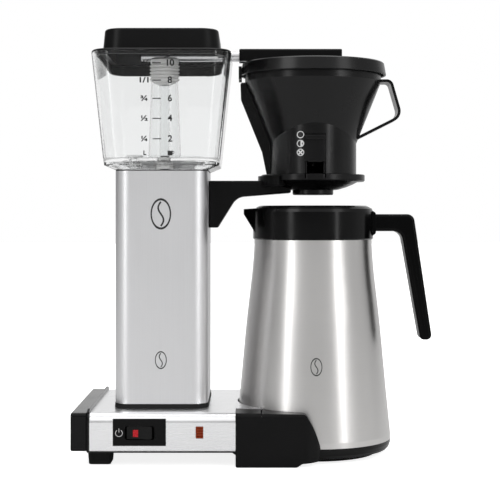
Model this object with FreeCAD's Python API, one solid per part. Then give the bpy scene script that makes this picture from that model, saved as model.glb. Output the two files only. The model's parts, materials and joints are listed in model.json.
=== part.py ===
"""Drip coffee maker with a clear water reservoir on a metal tower, a sliding brew basket and a vacuum carafe.

Row frame: +Z up, +X from the tower towards the carafe, -Y the front. Millimetres.
The origin is under the middle of the machine, on the surface that it stands on.
"""
import FreeCAD
import Part
import math
import os

V = FreeCAD.Vector
Z_AXIS = V(0, 0, 1)

# ---------------------------------------------------------------- driving dimensions
WIDTH = 325.0            # left end cap to the carafe handle
HEIGHT = 387.6           # surface to the top of the reservoir lid
BODY_DEPTH = 165.0       # base, front wall to rear wall
LEFT = -WIDTH / 2
FRONT = -BODY_DEPTH / 2
REAR = BODY_DEPTH / 2

TOWER_X = -85.4          # tower, reservoir and riser centre line
BREW_X = 53.0            # basket and carafe centre line
TOWER = (41.7, 54.0, 14.0)               # half width, half depth, corner radius
TOWER_HX = TOWER[0]

BASE_TOP = 47.8          # top face of the metal base
BASE_UNDER = 14.3        # underside of the metal base
COVER_UNDER = 13.0       # underside of the bottom cover
SHEET = 1.5              # base sheet thickness
HOUSING_X0, HOUSING_X1 = -146.0, -18.4
LIP = 1.0                # how far the end cap's lip stands proud of the base

TOWER_Z0, TOWER_Z1 = 51.7, 260.2
RESERVOIR_Z0 = 261.2
FLOOR_UNDER, FLOOR_TOP = 268.5, 272.0
RIM_Z = 366.3
OUTLET_Z = 368.5         # centre line of the outlet tube
BASKET_SEAT = 251.6      # underside of the basket flange
STAND_FLOOR = 3.8        # top of the thin plate under the carafe
CARAFE_Z0 = 4.1
COLLAR_Z0 = 198.0
RECESS_R = 73.4          # round recess that takes the foot of the carafe
CUTOUT_R = 70.3          # the recess narrows to this at the top
GAP = 0.4                # running gap between pieces that move apart


# ---------------------------------------------------------------- shape helpers
def box(x0, x1, y0, y1, z0, z1):
    return Part.makeBox(x1 - x0, y1 - y0, z1 - z0, V(x0, y0, z0))


def rod(radius, start, end):
    """A round bar from start to end."""
    along = end - start
    return Part.makeCylinder(radius, along.Length, start, along)


def upright(radius, z0, z1, x=0.0, y=0.0):
    return rod(radius, V(x, y, z0), V(x, y, z1))


def tube(outer, inner, z0, z1, x=0.0, y=0.0):
    return upright(outer, z0, z1, x, y).cut(upright(inner, z0 - 1, z1 + 1, x, y))


def rounded_wire(points, radii):
    """A closed flat outline through points, each corner rounded by its own radius."""
    count = len(points)
    edges, ends = [], []
    for i, corner in enumerate(points):
        to_last = (points[i - 1] - corner).normalize()
        to_next = (points[(i + 1) % count] - corner).normalize()
        if radii[i] <= 0:
            ends.append((corner, corner, None))
            continue
        half = to_last.getAngle(to_next) / 2
        reach = radii[i] / math.tan(half)
        centre = corner + (to_last + to_next).normalize() * (radii[i] / math.sin(half))
        middle = centre + (corner - centre).normalize() * radii[i]
        ends.append((corner + to_last * reach, corner + to_next * reach, middle))
    for i, (first, second, middle) in enumerate(ends):
        if middle is not None:
            edges.append(Part.Arc(first, middle, second).toShape())
        following = ends[(i + 1) % count][0]
        if (following - second).Length > 1e-6:
            edges.append(Part.makeLine(second, following))
    return Part.Wire(edges)


def prism_y(outline, radii, y0, y1):
    """An (x, z) outline pushed from y0 to y1."""
    wire = rounded_wire([V(x, y0, z) for x, z in outline], radii)
    return Part.Face(wire).extrude(V(0, y1 - y0, 0))


def prism_x(outline, radii, x0, x1):
    """A (y, z) outline pushed from x0 to x1."""
    wire = rounded_wire([V(x0, y, z) for y, z in outline], radii)
    return Part.Face(wire).extrude(V(x1 - x0, 0, 0))


def prism_z(outline, radii, z0, z1):
    """An (x, y) outline pushed from z0 to z1."""
    wire = rounded_wire([V(x, y, z0) for x, y in outline], radii)
    return Part.Face(wire).extrude(V(0, 0, z1 - z0))


def turned(profile, x=0.0, y=0.0):
    """A closed (radius, z) polygon turned about an upright axis."""
    wire = Part.makePolygon([V(r, 0, z) for r, z in profile] + [V(profile[0][0], 0, profile[0][1])])
    solid = Part.Face(wire).revolve(V(0, 0, 0), Z_AXIS, 360)
    solid.translate(V(x, y, 0))
    return solid


def soft_rectangle(hx, hy, radius, z, x=TOWER_X):
    corners = [V(x - hx, -hy, z), V(x + hx, -hy, z), V(x + hx, hy, z), V(x - hx, hy, z)]
    return rounded_wire(corners, [radius] * 4)


def inset(section, by):
    """A (half width, half depth, corner radius) made smaller by that much all round."""
    return tuple(size - by for size in section)


def on_circle(radius, degrees, x=0.0, y=0.0):
    turn = math.radians(degrees)
    return x + radius * math.cos(turn), y + radius * math.sin(turn)


def soft_block(sections, x=TOWER_X):
    """A solid through rounded rectangles, each (half width, half depth, corner radius, z)."""
    wires = [soft_rectangle(hx, hy, radius, z, x) for hx, hy, radius, z in sections]
    return Part.makeLoft(wires, True, True)


def oval(half_x, half_y, z0, z1, x=BREW_X):
    """An upright bar of elliptical section, deeper than it is wide."""
    ellipse = Part.Ellipse(V(x, half_y, z0), V(x - half_x, 0, z0), V(x, 0, z0))
    return Part.Face(Part.Wire(ellipse.toShape())).extrude(V(0, 0, z1 - z0))


def bent_bar(points, radius, bend):
    """A round bar along straight runs with one bend radius at every corner."""
    edges, start = [], points[0]
    for last, corner, following in zip(points, points[1:], points[2:]):
        to_last, to_next = (last - corner).normalize(), (following - corner).normalize()
        half = to_last.getAngle(to_next) / 2
        reach = bend / math.tan(half)
        centre = corner + (to_last + to_next).normalize() * (bend / math.sin(half))
        middle = centre + (corner - centre).normalize() * bend
        edges.append(Part.makeLine(start, corner + to_last * reach))
        edges.append(Part.Arc(corner + to_last * reach, middle, corner + to_next * reach).toShape())
        start = corner + to_next * reach
    edges.append(Part.makeLine(start, points[-1]))
    section = Part.Wire(Part.Circle(points[0], points[1] - points[0], radius).toShape())
    return Part.Wire(edges).makePipeShell([section], True, False)


def strip(centre_line, bends, thickness, y0, y1):
    """A flat strip bent along an (x, z) centre line, with a bend radius at each inner corner."""
    points = [V(x, 0, z) for x, z in centre_line]
    sides = {}
    for side in (-1, 1):
        offset = []
        for i, point in enumerate(points):
            before = (point - points[i - 1]).normalize() if i else None
            after = (points[i + 1] - point).normalize() if i + 1 < len(points) else None
            before, after = before or after, after or before
            normal = (V(-before.z, 0, before.x) + V(-after.z, 0, after.x)).normalize()
            half = before.getAngle(after) / 2
            offset.append(point + normal * (side * thickness / 2 / math.cos(half)))
        sides[side] = offset
    turn = [0.0]
    for i in range(1, len(points) - 1):
        before, after = points[i] - points[i - 1], points[i + 1] - points[i]
        turn.append(math.copysign(1.0, before.z * after.x - before.x * after.z))
    near = [0] + [bends[i - 1] + turn[i] * thickness / 2 for i in range(1, len(points) - 1)] + [0]
    far = [0] + [bends[i - 1] - turn[i] * thickness / 2 for i in range(1, len(points) - 1)] + [0]
    wire = rounded_wire(sides[1] + sides[-1][::-1], near + far[::-1])
    solid = Part.Face(wire).extrude(V(0, y1 - y0, 0))
    solid.translate(V(0, y0, 0))
    return solid


def fuse(first, *others):
    return first.multiFuse(list(others)).removeSplitter()


def cut(first, *others):
    for other in others:
        first = first.cut(other)
    return first


def rounded(shape, radius, chosen):
    """shape with the edges for which chosen(edge) is true rounded."""
    return shape.makeFillet(radius, [e for e in shape.Edges if chosen(e)])


def flat_at(edge, z):
    return abs(edge.BoundBox.ZMin - z) < 1e-4 and abs(edge.BoundBox.ZMax - z) < 1e-4


PARTS = {}


def part(function):
    """Registers a function that returns the solid of the node that has the function's name."""
    PARTS[function.__name__] = function
    return function


# ---------------------------------------------------------------- base
SWITCH_X0, SWITCH_X1, SWITCH_Z0, SWITCH_Z1 = -125.3, -79.1, 19.4, 43.1
ROCKER_X, ROCKER_Z, ROCKER_HX, ROCKER_HZ = -102.0, 30.6, 11.9, 5.7
LAMP_X, LAMP_Z, LAMP_HX, LAMP_HZ = -49.8, 31.0, 3.3, 5.2
GLAND_X, GLAND_Z, GLAND_BORE, GLAND_LENGTH = -112.0, 30.0, 4.0, 12.0
TOP_EDGE_R, BOTTOM_EDGE_R = 8.5, 1.6
FOOT_X0, FOOT_X1, FOOT_FRONT, FOOT_DEPTH = -149.4, -128.0, -66.5, 26.0
COVER_SCREWS = [(-117.0, -68.0), (-117.0, 68.0), (-40.0, -68.0), (-40.0, 68.0)]
COVER_SCREW_R = 1.6


def base_outline(depth):
    low, high = BASE_UNDER + depth, BASE_TOP - depth
    outline = [(FRONT + depth, low), (REAR - depth, low), (REAR - depth, high), (FRONT + depth, high)]
    small, large = max(BOTTOM_EDGE_R - depth, 0.4), TOP_EDGE_R - depth
    return outline, [small, small, large, large]


@part
def base_housing():
    """The folded metal channel: front wall, top and rear wall, open at both ends and below."""
    shell = prism_x(*base_outline(0.0), HOUSING_X0, HOUSING_X1)
    hollow = prism_x(*base_outline(SHEET), HOUSING_X0 - 1, HOUSING_X1 + 1)
    lip_width = 20.0
    open_below = box(HOUSING_X0 - 1, HOUSING_X1 + 1, FRONT + lip_width, REAR - lip_width, 0, BASE_UNDER + 5)
    wire_way = soft_block([(26, 36, 6, BASE_TOP - 5), (26, 36, 6, BASE_TOP + 5)])
    switch_hole = box(SWITCH_X0 + 2, SWITCH_X1 - 2, FRONT - 1, FRONT + 5, SWITCH_Z0 + 2, SWITCH_Z1 - 2)
    lamp_hole = box(LAMP_X - LAMP_HX, LAMP_X + LAMP_HX, FRONT - 1, FRONT + 5,
                    LAMP_Z - LAMP_HZ, LAMP_Z + LAMP_HZ)
    gland_hole = rod(7.0, V(GLAND_X, REAR - 5, GLAND_Z), V(GLAND_X, REAR + 1, GLAND_Z))
    bolt_holes = [upright(2.3, BASE_TOP - 5, BASE_TOP + 5, x, y) for x, y in TOWER_BOLTS]
    screw_holes = [upright(COVER_SCREW_R, 0, BASE_UNDER + 5, x, y) for x, y in COVER_SCREWS]
    shell = cut(shell, hollow, open_below)
    return cut(shell, wire_way, switch_hole, lamp_hole, gland_hole, *bolt_holes, *screw_holes)


@part
def base_bottom_cover():
    plate = box(HOUSING_X0, HOUSING_X1, FRONT + 1.5, REAR - 1.5, COVER_UNDER, BASE_UNDER)
    vents = []
    for i in range(7):
        x = -104.0 + 9.0 * i
        slot = [(x - 2, -34), (x + 2, -34), (x + 2, 34), (x - 2, 34)]
        vents.append(prism_z(slot, [1.9] * 4, 0, BASE_UNDER + 1))
    holes = [upright(COVER_SCREW_R, 0, BASE_UNDER + 1, x, y) for x, y in COVER_SCREWS]
    carafe_side = upright(RECESS_R + 3.4, 0, BASE_UNDER + 1, BREW_X)
    return cut(plate, carafe_side, *vents, *holes)


@part
def cover_screws():
    """Four pan-head screws that hold the bottom cover to the housing's lips."""
    screws = []
    for x, y in COVER_SCREWS:
        head = upright(3.0, COVER_UNDER - 1.8, COVER_UNDER, x, y)
        head = rounded(head, 0.9, lambda e: flat_at(e, COVER_UNDER - 1.8))
        cross = [box(x - 1.8, x + 1.8, y - 0.4, y + 0.4, 0, COVER_UNDER - 1.0),
                 box(x - 0.4, x + 0.4, y - 1.8, y + 1.8, 0, COVER_UNDER - 1.0)]
        screws.append(cut(fuse(head, upright(1.5, COVER_UNDER - 0.5, BASE_UNDER + 6, x, y)), *cross))
    return Part.makeCompound(screws)


@part
def left_end_cap():
    """The black cap that closes the base's left end, with the lip that frames the metal."""
    lip_x0 = HOUSING_X0 - 2.9
    outline, radii = base_outline(0.0)
    cap = prism_x(outline, [2.5, 2.5, 3.0, 3.0], LEFT, lip_x0)
    cap = rounded(cap, 1.4, lambda e: e.BoundBox.XMax < LEFT + 1e-4)
    low, high = COVER_UNDER, BASE_TOP + 3.0
    frame = [(FRONT - LIP, low), (REAR + LIP, low), (REAR + LIP, high), (FRONT - LIP, high)]
    lip = prism_x(frame, [3, 3, 9, 9], lip_x0, HOUSING_X0)
    slope = [e for e in lip.Edges if e.BoundBox.XMax < lip_x0 + 1e-4 and e.BoundBox.ZMax > BASE_TOP - 10]
    lip = lip.makeChamfer(0.9, 2.2, slope)
    hollow = box(LEFT + 3, lip_x0, FRONT + 3, REAR - 3, BASE_UNDER + 3, BASE_TOP - 3)
    opening = prism_x(*base_outline(3.0), lip_x0 - 1, HOUSING_X0 + 1)
    return cut(fuse(cap, lip), hollow, opening)


def foot(y0, y1):
    """A tapered rubber block from the bottom cover down to the surface."""
    wires = []
    for d, z in ((0.9, 0.0), (0.0, COVER_UNDER)):
        x0, x1 = FOOT_X0 + d, FOOT_X1 - d
        corners = [V(x0, y0 + d, z), V(x1, y0 + d, z), V(x1, y1 - d, z), V(x0, y1 - d, z)]
        wires.append(rounded_wire(corners, [3.0] * 4))
    block = Part.makeLoft(wires, True, True)
    return rounded(block, 1.0, lambda e: flat_at(e, 0.0))


@part
def foot_front_left():
    return foot(FOOT_FRONT, FOOT_FRONT + FOOT_DEPTH)


@part
def foot_rear_left():
    return foot(-FOOT_FRONT - FOOT_DEPTH, -FOOT_FRONT)


def rocker_face(more_x, more_z):
    """The rocker's rectangle seen from the front, larger by more_x and more_z on each side."""
    hx, hz = ROCKER_HX + more_x, ROCKER_HZ + more_z
    return [(ROCKER_X - hx, ROCKER_Z - hz), (ROCKER_X + hx, ROCKER_Z - hz),
            (ROCKER_X + hx, ROCKER_Z + hz), (ROCKER_X - hx, ROCKER_Z + hz)]


@part
def switch_plate():
    """The flat black plate on the front wall, with the rocker's window."""
    plate = box(SWITCH_X0, SWITCH_X1, FRONT - 0.9, FRONT, SWITCH_Z0, SWITCH_Z1)
    collar = box(SWITCH_X0 + 2.3, SWITCH_X1 - 2.3, FRONT, FRONT + 4, SWITCH_Z0 + 2.3, SWITCH_Z1 - 2.3)
    window = prism_y(rocker_face(1.2, 0.5), [2.6] * 4, FRONT - 2, FRONT + 5)
    return cut(fuse(plate, collar), window)


ROCKER_PIVOT_Y = FRONT + 5.6
ROCKER_FACE_Y = FRONT + 0.2     # the rocker's two edges, before it is tilted
ROCKER_TILT = 7.0        # each half of the rocker leans back by this many degrees


def rocker_blank():
    """The rocker in its middle position: a shallow V in plan, hinged behind the plate."""
    rise = ROCKER_HX * math.tan(math.radians(ROCKER_TILT))
    plan = [(ROCKER_X - ROCKER_HX, ROCKER_FACE_Y), (ROCKER_X, ROCKER_FACE_Y + rise),
            (ROCKER_X + ROCKER_HX, ROCKER_FACE_Y), (ROCKER_X + ROCKER_HX - 0.6, FRONT + 4.0),
            (ROCKER_X + 3, FRONT + 8.0), (ROCKER_X - 3, FRONT + 8.0),
            (ROCKER_X - ROCKER_HX + 0.6, FRONT + 4.0)]
    blank = prism_z(plan, [1.2, 6.0, 1.2, 0.4, 1.5, 1.5, 0.4], ROCKER_Z - ROCKER_HZ, ROCKER_Z + ROCKER_HZ)
    return blank.common(prism_y(rocker_face(0.0, 0.0), [2.4] * 4, FRONT - 3, FRONT + 10))


def tilted_on(shape):
    """Turned to the on position, left half pressed in."""
    shape.rotate(V(ROCKER_X, ROCKER_PIVOT_Y, 0), Z_AXIS, -ROCKER_TILT)
    return shape


MARK_X0, MARK_X1, MARK_Z0, MARK_Z1 = ROCKER_X - 5.5, ROCKER_X - 0.9, 26.7, 33.0


def marker_blank(spread):
    x0, x1 = MARK_X0 - spread, MARK_X1 + spread
    return box(x0, x1, FRONT - 2, FRONT + 3.0, MARK_Z0 - spread, MARK_Z1 + spread)


@part
def rocker_button():
    pin_hole = rod(1.25, V(ROCKER_X, ROCKER_PIVOT_Y, 0), V(ROCKER_X, ROCKER_PIVOT_Y, 60))
    return tilted_on(cut(rocker_blank(), marker_blank(0.0), pin_hole))


@part
def rocker_marker():
    """The red window let into the rocker's left half."""
    return tilted_on(marker_blank(-0.05).common(rocker_blank()))


@part
def switch_body():
    """The switch behind the plate, with the rocker's pin and its three blades."""
    x0, x1 = ROCKER_X - 13.5, ROCKER_X + 13.5
    shell = box(x0, x1, FRONT + 4.0, FRONT + 24, ROCKER_Z - 7.5, ROCKER_Z + 7.5)
    well = box(x0 + 0.8, x1 - 0.8, FRONT + 3, FRONT + 13, ROCKER_Z - 6.1, ROCKER_Z + 6.1)
    pin = rod(1.2, V(ROCKER_X, ROCKER_PIVOT_Y, ROCKER_Z - 7.0), V(ROCKER_X, ROCKER_PIVOT_Y, ROCKER_Z + 7.0))
    blades = []
    for x in (ROCKER_X - 8, ROCKER_X, ROCKER_X + 8):
        blades.append(box(x - 0.4, x + 0.4, FRONT + 23, FRONT + 32, ROCKER_Z - 3, ROCKER_Z + 3))
    return fuse(cut(shell, well), pin, *blades)


@part
def pilot_lamp_lens():
    """The ribbed amber lens, pushed into its hole from the front."""
    hx, hz = LAMP_HX - 0.1, LAMP_HZ - 0.1
    lens = box(LAMP_X - hx, LAMP_X + hx, FRONT - 0.9, FRONT + 4, LAMP_Z - hz, LAMP_Z + hz)
    lens = rounded(lens, 0.6, lambda e: abs(e.BoundBox.YMax - (FRONT - 0.9)) < 1e-4)
    grooves = []
    for dz in (-3.4, -1.1, 1.2, 3.5):
        z, root_y, mouth_y = LAMP_Z + dz, FRONT - 0.1, FRONT - 1.5
        vee = [(root_y, z), (mouth_y, z - 1.1), (mouth_y, z + 1.1)]
        grooves.append(prism_x(vee, [0, 0, 0], LAMP_X - hx - 1, LAMP_X + hx + 1))
    return cut(lens, *grooves)


@part
def pilot_lamp_body():
    body = rod(4.6, V(LAMP_X, FRONT + 4.0, LAMP_Z), V(LAMP_X, FRONT + 20, LAMP_Z))
    leads = []
    for x in (LAMP_X - 2, LAMP_X + 2):
        leads.append(rod(0.9, V(x, FRONT + 19, LAMP_Z), V(x, FRONT + 28, LAMP_Z)))
    return fuse(body, *leads)


@part
def cord_gland():
    """The bush in the rear wall that the mains lead passes through."""
    outer = REAR + LIP
    flange = rod(9.5, V(GLAND_X, REAR, GLAND_Z), V(GLAND_X, outer, GLAND_Z))
    body = rod(6.9, V(GLAND_X, outer - GLAND_LENGTH, GLAND_Z), V(GLAND_X, outer, GLAND_Z))
    collar = rod(8.5, V(GLAND_X, REAR - SHEET - 2.5, GLAND_Z), V(GLAND_X, REAR - SHEET, GLAND_Z))
    bore = rod(GLAND_BORE, V(GLAND_X, outer - GLAND_LENGTH - 1, GLAND_Z), V(GLAND_X, outer + 1, GLAND_Z))
    return cut(fuse(flange, body, collar), bore)


TERMINAL_X, TERMINAL_Y = -104.0, 52.0


@part
def terminal_block():
    block = box(TERMINAL_X - 16, TERMINAL_X + 16, TERMINAL_Y - 7, TERMINAL_Y + 7, BASE_UNDER, BASE_UNDER + 13)
    ways = []
    for i in range(3):
        x = TERMINAL_X - 10.5 + 10.5 * i
        ways.append(rod(2.0, V(x, TERMINAL_Y - 8, BASE_UNDER + 5), V(x, TERMINAL_Y + 8, BASE_UNDER + 5)))
        ways.append(upright(1.8, BASE_UNDER + 8, BASE_UNDER + 14, x, TERMINAL_Y))
    return cut(block, *ways)


@part
def wiring_loom():
    """Insulated wires from the terminal block to the switch, the lamp and the heater."""
    radius, bend, low = 1.1, 5.0, BASE_UNDER + 5
    entry = TERMINAL_Y - 6.0
    runs = []
    for i, dx in enumerate((-8, 0)):
        x, blade = TERMINAL_X - 10.5 + 10.5 * i, ROCKER_X + dx
        runs.append([V(x, entry, low), V(x, 8 * i, low), V(blade, -12 + 8 * i, ROCKER_Z),
                     V(blade, FRONT + 32.2, ROCKER_Z)])
    x = TERMINAL_X + 10.5
    runs.append([V(x, entry, low), V(x, 14, low), V(TOWER_X + 20, 6, low), V(TOWER_X + 20, 6, 90),
                 V(TOWER_X + 4, 15, 104)])
    runs.append([V(LAMP_X, FRONT + 28.2, LAMP_Z), V(LAMP_X, -30, LAMP_Z), V(ROCKER_X + 8, -24, ROCKER_Z),
                 V(ROCKER_X + 8, FRONT + 32.2, ROCKER_Z)])
    return Part.makeCompound([bent_bar(points, radius, bend) for points in runs])


# ---------------------------------------------------------------- carafe stand
STAND_X0 = HOUSING_X1
STAND_TOP = BASE_TOP - 0.4
STAND_END_X = 120.0      # past the stand's right end
TONGUE_TOP = 45.8        # the recess wall under the base housing
CUTOUT_UNDER = 43.2      # underside of the narrow top of the recess
SEAM_X = 4.4
TRIM_FRONT = -52.0
TRIM_THICK = 1.2
PLATFORM_R = 58.0
PAD_X, PAD_R, PAD_HIGH = BREW_X + 44.0, 7.0, 1.0


def wing_side():
    """The stand seen from the front: a foot at the left, a sloping end at the right."""
    outline = [(STAND_X0, 0), (35.0, 0), (40.0, 3.4), (54.6, 4.6), (56.6, 15.6), (51.0, 32.3), (43.0, 46.4),
               (STAND_X0, STAND_TOP)]
    return prism_y(outline, [2.0, 3.0, 4.0, 2.0, 14.0, 60.0, 4.0, 0], FRONT - 1, REAR + 1)


def wing_plan():
    """The stand seen from above, with rounded corners at its right end."""
    outline = [(STAND_X0, FRONT), (58.0, FRONT), (58.0, REAR), (STAND_X0, REAR)]
    return prism_z(outline, [0, 16.0, 16.0, 0], -1, BASE_TOP + 5)


def carafe_room():
    """The round recess: wide round the carafe's foot, narrower at the top."""
    wide = upright(RECESS_R, STAND_FLOOR, CUTOUT_UNDER, BREW_X)
    return fuse(wide, upright(CUTOUT_R, STAND_FLOOR, 60, BREW_X))


@part
def carafe_stand():
    """The black moulding that carries the carafe between two wings on a thin round plate."""
    across = prism_x([(FRONT, 0), (REAR, 0), (REAR, STAND_TOP), (FRONT, STAND_TOP)], [1.5, 1.5, 4.0, 4.0],
                     STAND_X0 - 1, 70)
    body = wing_side().common(wing_plan()).common(across)
    open_side = box(BREW_X, STAND_END_X, -RECESS_R, RECESS_R, STAND_FLOOR, 60)
    recess = fuse(carafe_room(), open_side)
    wall = 3.0
    hollow = box(STAND_X0 - 1, 38.0, FRONT + wall, REAR - wall, wall, 42.0)
    hollow = cut(hollow, upright(RECESS_R + wall, 0, 60, BREW_X))
    seat = box(STAND_X0 - 1, 60, TRIM_FRONT, REAR - 6.0, STAND_TOP - TRIM_THICK, BASE_TOP + 1)
    seam = box(SEAM_X - 0.5, SEAM_X + 0.5, FRONT - 1, TRIM_FRONT, 43.6, 60)
    between_wings = box(BREW_X, STAND_END_X, -RECESS_R, RECESS_R, -1, STAND_FLOOR)
    outside = cut(between_wings, upright(PLATFORM_R, -2, 10, BREW_X))
    wings = cut(body, recess, hollow, seat, seam, outside)
    plate = upright(PLATFORM_R, 1.0, STAND_FLOOR, BREW_X)
    tongue = cut(upright(RECESS_R + wall, STAND_FLOOR - 2.8, TONGUE_TOP, BREW_X), carafe_room())
    tongue = tongue.common(box(-30, STAND_X0 + 2, -60, 60, 0, TONGUE_TOP))
    return fuse(wings, plate, tongue)


@part
def stand_trim_plate():
    """The metal plate between the base top and the carafe, flush with the base."""
    plate = box(STAND_X0, 24.0, TRIM_FRONT, REAR - 6.0, STAND_TOP - TRIM_THICK, BASE_TOP)
    return cut(plate, upright(CUTOUT_R, 0, 60, BREW_X))


@part
def stand_pads():
    """Thin rubber pads under the round plate."""
    spots = [(PAD_X, -18.0), (PAD_X, 18.0)]
    pads = [rounded(upright(PAD_R, 0, PAD_HIGH, x, y), 0.5, lambda e: flat_at(e, 0)) for x, y in spots]
    return Part.makeCompound(pads)


# ---------------------------------------------------------------- tower
BRACKET_SCREWS = [(-8.0, 222.0), (8.0, 222.0), (0.0, 242.0)]
TOWER_BOLTS = [(TOWER_X - 20.0, 44.0), (TOWER_X + 20.0, 44.0)]
BOILER_X0, BOILER_X1 = TOWER_X - 28.0, TOWER_X
BOILER_LOW, BOILER_TOP = 78.0, 214.0


@part
def tower_shell():
    """The metal column, a rounded rectangular tube."""
    outer = soft_block([(*inset(TOWER, 0.0), TOWER_Z0), (*inset(TOWER, 0.0), TOWER_Z1)])
    inner = soft_block([(*inset(TOWER, 1.8), TOWER_Z0 - 1), (*inset(TOWER, 1.8), TOWER_Z1 + 1)])
    side = TOWER_X + TOWER_HX
    holes = [rod(2.3, V(side - 5, y, z), V(side + 5, y, z)) for y, z in BRACKET_SCREWS]
    return cut(outer, inner, *holes)


@part
def tower_gasket():
    """The black rubber frame that the tower stands in."""
    outer = soft_block([(*inset(TOWER, -0.7), BASE_TOP), (*inset(TOWER, -0.3), TOWER_Z0)])
    inner = soft_block([(*inset(TOWER, 3.2), BASE_TOP - 1), (*inset(TOWER, 3.2), TOWER_Z0 + 1)])
    return cut(outer, inner)


@part
def tower_top_seal():
    """The rubber ring between the tower's top edge and the tank."""
    outer = soft_block([(*inset(TOWER, 0.2), TOWER_Z1), (*inset(TOWER, 0.2), RESERVOIR_Z0)])
    inner = soft_block([(*inset(TOWER, 3.0), TOWER_Z1 - 1), (*inset(TOWER, 3.0), RESERVOIR_Z0 + 1)])
    return cut(outer, inner)


@part
def tower_frame():
    """The steel strip inside the tower that ties the reservoir to the base."""
    low, high = BASE_TOP, FLOOR_UNDER
    outline = [(37.0, low), (50.5, low), (50.5, high), (37.0, high),
               (37.0, high - 2), (48.5, high - 2), (48.5, low + 2), (37.0, low + 2)]
    frame = prism_x(outline, [0, 2.6, 2.6, 0, 0, 0.6, 0.6, 0], TOWER_X - 28, TOWER_X + 28)
    slots = []
    for z in (80, 132, 184):
        x0, x1 = TOWER_X - 14, TOWER_X + 14
        slots.append(prism_y([(x0, z), (x1, z), (x1, z + 34), (x0, z + 34)], [6] * 4, 40, 60))
    return cut(frame, *slots, *[upright(2.1, 0, 300, x, y) for x, y in TOWER_BOLTS])


@part
def tower_bolts():
    """Bolts at the frame's foot, with their heads inside the base."""
    bolts = []
    for x, y in TOWER_BOLTS:
        head = upright(3.8, BASE_TOP - SHEET - 3.0, BASE_TOP - SHEET, x, y)
        head = cut(head, upright(1.8, 0, BASE_TOP - SHEET - 1.2, x, y))
        corners = [on_circle(3.9, angle, x, y) for angle in range(0, 360, 60)]
        nut = prism_z(corners, [0.3] * 6, BASE_TOP + 2.0, BASE_TOP + 5.0)
        bolts.append(fuse(head, upright(1.9, BASE_TOP - SHEET - 1, BASE_TOP + 7, x, y), nut))
    return Part.makeCompound(bolts)


def boiler_route(y):
    return [V(BOILER_X0, y, BOILER_TOP), V(BOILER_X0, y, BOILER_LOW),
            V(BOILER_X1, y, BOILER_LOW), V(BOILER_X1, y, BOILER_TOP)]


@part
def boiler_tube():
    """The copper U that the water boils in, open through its whole length."""
    bore = boiler_route(0.0)
    bore[0], bore[3] = bore[0] + Z_AXIS, bore[3] + Z_AXIS
    return cut(bent_bar(boiler_route(0.0), 5.0, 12.0), bent_bar(bore, 4.0, 12.0))


@part
def heating_element():
    """The sheathed heater rod brazed along the boiler, with its two terminals."""
    y, radius = 8.6, 3.5
    route = boiler_route(y)
    route[0], route[3] = route[0] - Z_AXIS * 14, route[3] - Z_AXIS * 14
    ends = [rod(1.2, point, point + Z_AXIS * 9) for point in (route[0], route[3])]
    return fuse(bent_bar(route, radius, 12.0), *ends)


@part
def thermostat():
    """The disc thermostat clamped to the front of the boiler."""
    z, y = 150.0, -5.1
    disc = rod(8.0, V(BOILER_X1, y - 9, z), V(BOILER_X1, y - 2, z))
    plate = box(BOILER_X1 - 11, BOILER_X1 + 11, y - 2, y, z - 5, z + 5)
    tabs = [box(BOILER_X1 + dx - 0.4, BOILER_X1 + dx + 0.4, y - 17, y - 8, z - 3, z + 3) for dx in (-4, 4)]
    return fuse(disc, plate, *tabs)


@part
def thermal_fuse():
    body = rod(2.2, V(BOILER_X0, -7.4, 118), V(BOILER_X0, -7.4, 132))
    leads = rod(0.6, V(BOILER_X0, -7.4, 110), V(BOILER_X0, -7.4, 140))
    return fuse(body, leads)


VALVE_Z0, VALVE_Z1, BALL_R = 208.0, 230.0, 3.0
BALL_Z = 216.6


@part
def check_valve_body():
    """The brass non-return valve on the boiler's inlet leg: the ball drops away to let water down."""
    outside = [(4.2, VALVE_Z1), (4.2, 225), (7.5, 225), (7.5, 212), (6.6, VALVE_Z0), (5.05, VALVE_Z0)]
    inside = [(5.05, 214.2), (2.0, 214.2), (3.5, 216.0), (3.5, 224.0), (2.2, 225.6), (2.2, VALVE_Z1)]
    body = turned(outside + inside, BOILER_X0)
    slots = []
    for hx, hy in ((3.4, 0.7), (0.7, 3.4)):
        slots.append(box(BOILER_X0 - hx, BOILER_X0 + hx, -hy, hy, 213.0, 218.0))
    return cut(body, *slots)


@part
def check_ball():
    return Part.makeSphere(BALL_R, V(BOILER_X0, 0, BALL_Z))


@part
def inlet_hose():
    """The silicone sleeve from the reservoir's spigot down to the valve."""
    profile = [(4.4, 226.0), (7.2, 226.0), (7.2, 262.0), (6.15, 262.0), (6.15, 249.0), (4.4, 249.0)]
    return turned(profile, BOILER_X0)


@part
def riser_hose():
    """The silicone sleeve that joins the boiler's outlet leg to the riser tube."""
    return tube(7.2, 5.1, 204.0, 240.0, BOILER_X1)


# ---------------------------------------------------------------- reservoir and outlet
WALL = 2.5
RES_LOW = (53.0, 58.8, 18.0)
RES_TOP = (62.9, 68.4, 22.0)
OUTLET_R = 4.8
COVER_X0, COVER_X1, COVER_HY = -15.7, 79.6, 10.5
COVER_Z0, COVER_Z1 = 363.4, 374.7
SPRAY_R = 7.5
SKIRT_FRONT_Z, SKIRT_REAR_Z = 363.4, 355.6        # lower edge of the lid's skirt, which slopes to the rear


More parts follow.
